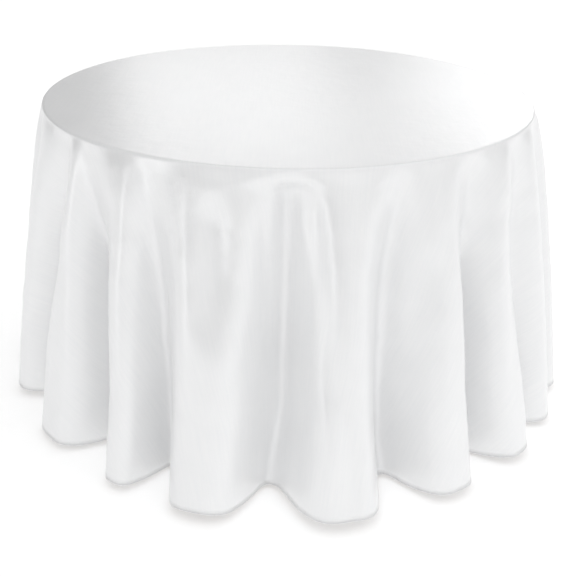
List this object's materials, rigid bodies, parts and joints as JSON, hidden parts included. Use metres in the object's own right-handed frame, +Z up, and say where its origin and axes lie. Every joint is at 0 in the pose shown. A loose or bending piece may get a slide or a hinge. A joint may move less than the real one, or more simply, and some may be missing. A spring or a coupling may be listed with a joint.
{
  "type": "round table with tablecloth",
  "caption": "Round folding table under a floor-length round satin tablecloth whose skirt falls in deep folds; leg frames fold inward on jointed braces.",
  "frame": {"origin": "on the floor under the middle of the round table", "axes": "+Z up; the side the picture shows faces -Y; leg frame a is on the +X side and frame b on the -X side"},
  "size_m": [1.4976, 1.5607, 0.7647],
  "materials": {
    "cloth": "satin",
    "plywood": "satin",
    "edge": "matte",
    "batten": "matte",
    "bracket_steel": "satin",
    "leg_paint": "satin",
    "foot_rubber": "matte",
    "link_steel": "satin",
    "pin_steel": "polished",
    "screw_steel": "satin"
  },
  "bodies": {
    "table": {"table_top": "plywood", "edge_moulding": "edge", "runner_front": "batten", "runner_back": "batten", "spacer_front": "batten", "spacer_back": "batten", "strap_a_front": "bracket_steel", "strap_a_back": "bracket_steel", "strap_b_front": "bracket_steel", "strap_b_back": "bracket_steel", "brace_bracket_a": "bracket_steel", "brace_bracket_b": "bracket_steel", "brace_top_pins": "pin_steel", "runner_screws": "screw_steel", "strap_screws": "screw_steel", "bracket_screws": "screw_steel"},
    "cloth": {"tablecloth": "cloth"},
    "leg_pair_a": {"leg_frame_a": "leg_paint", "crossbar_a": "leg_paint", "leg_lug_a": "leg_paint", "foot_a_front": "foot_rubber", "foot_a_back": "foot_rubber", "brace_leg_pin_a": "pin_steel"},
    "upper_link_a": {"brace_upper_a": "link_steel", "brace_mid_pin_a": "pin_steel"},
    "lower_link_a": {"brace_lower_a": "link_steel"},
    "leg_pair_b": {"leg_frame_b": "leg_paint", "crossbar_b": "leg_paint", "leg_lug_b": "leg_paint", "foot_b_front": "foot_rubber", "foot_b_back": "foot_rubber", "brace_leg_pin_b": "pin_steel"},
    "upper_link_b": {"brace_upper_b": "link_steel", "brace_mid_pin_b": "pin_steel"},
    "lower_link_b": {"brace_lower_b": "link_steel"}
  },
  "joints": [
    {"name": "cloth_lift", "type": "slide", "parent": "table", "child": "cloth", "axis": [0, 0, 1], "range_m": [0, 0.8]},
    {"name": "leg_fold_a", "type": "hinge", "parent": "table", "child": "leg_pair_a", "pos_m": [0.37, 0, 0.709], "axis": [0, 1, 0], "range_deg": [0, 90]},
    {"name": "brace_upper_a", "type": "hinge", "parent": "table", "child": "upper_link_a", "pos_m": [0.12, 0, 0.709], "axis": [0, 1, 0], "range_deg": [-54.5, 0]},
    {"name": "brace_lower_a", "type": "hinge", "parent": "leg_pair_a", "child": "lower_link_a", "pos_m": [0.37, 0, 0.359], "axis": [0, 1, 0], "range_deg": [0, 35.6]},
    {"name": "leg_fold_b", "type": "hinge", "parent": "table", "child": "leg_pair_b", "pos_m": [-0.37, 0, 0.669], "axis": [0, -1, 0], "range_deg": [0, 90]},
    {"name": "brace_upper_b", "type": "hinge", "parent": "table", "child": "upper_link_b", "pos_m": [-0.12, 0, 0.669], "axis": [0, -1, 0], "range_deg": [-54.5, 0]},
    {"name": "brace_lower_b", "type": "hinge", "parent": "leg_pair_b", "child": "lower_link_b", "pos_m": [-0.37, 0, 0.319], "axis": [0, -1, 0], "range_deg": [0, 35.6]}
  ],
  "couplings": [
    {"joint": "brace_upper_a", "follows": "leg_fold_a", "ratio": -0.60514},
    {"joint": "brace_lower_a", "follows": "leg_fold_a", "ratio": 0.39486},
    {"joint": "brace_upper_b", "follows": "leg_fold_b", "ratio": -0.60514},
    {"joint": "brace_lower_b", "follows": "leg_fold_b", "ratio": 0.39486}
  ]
}
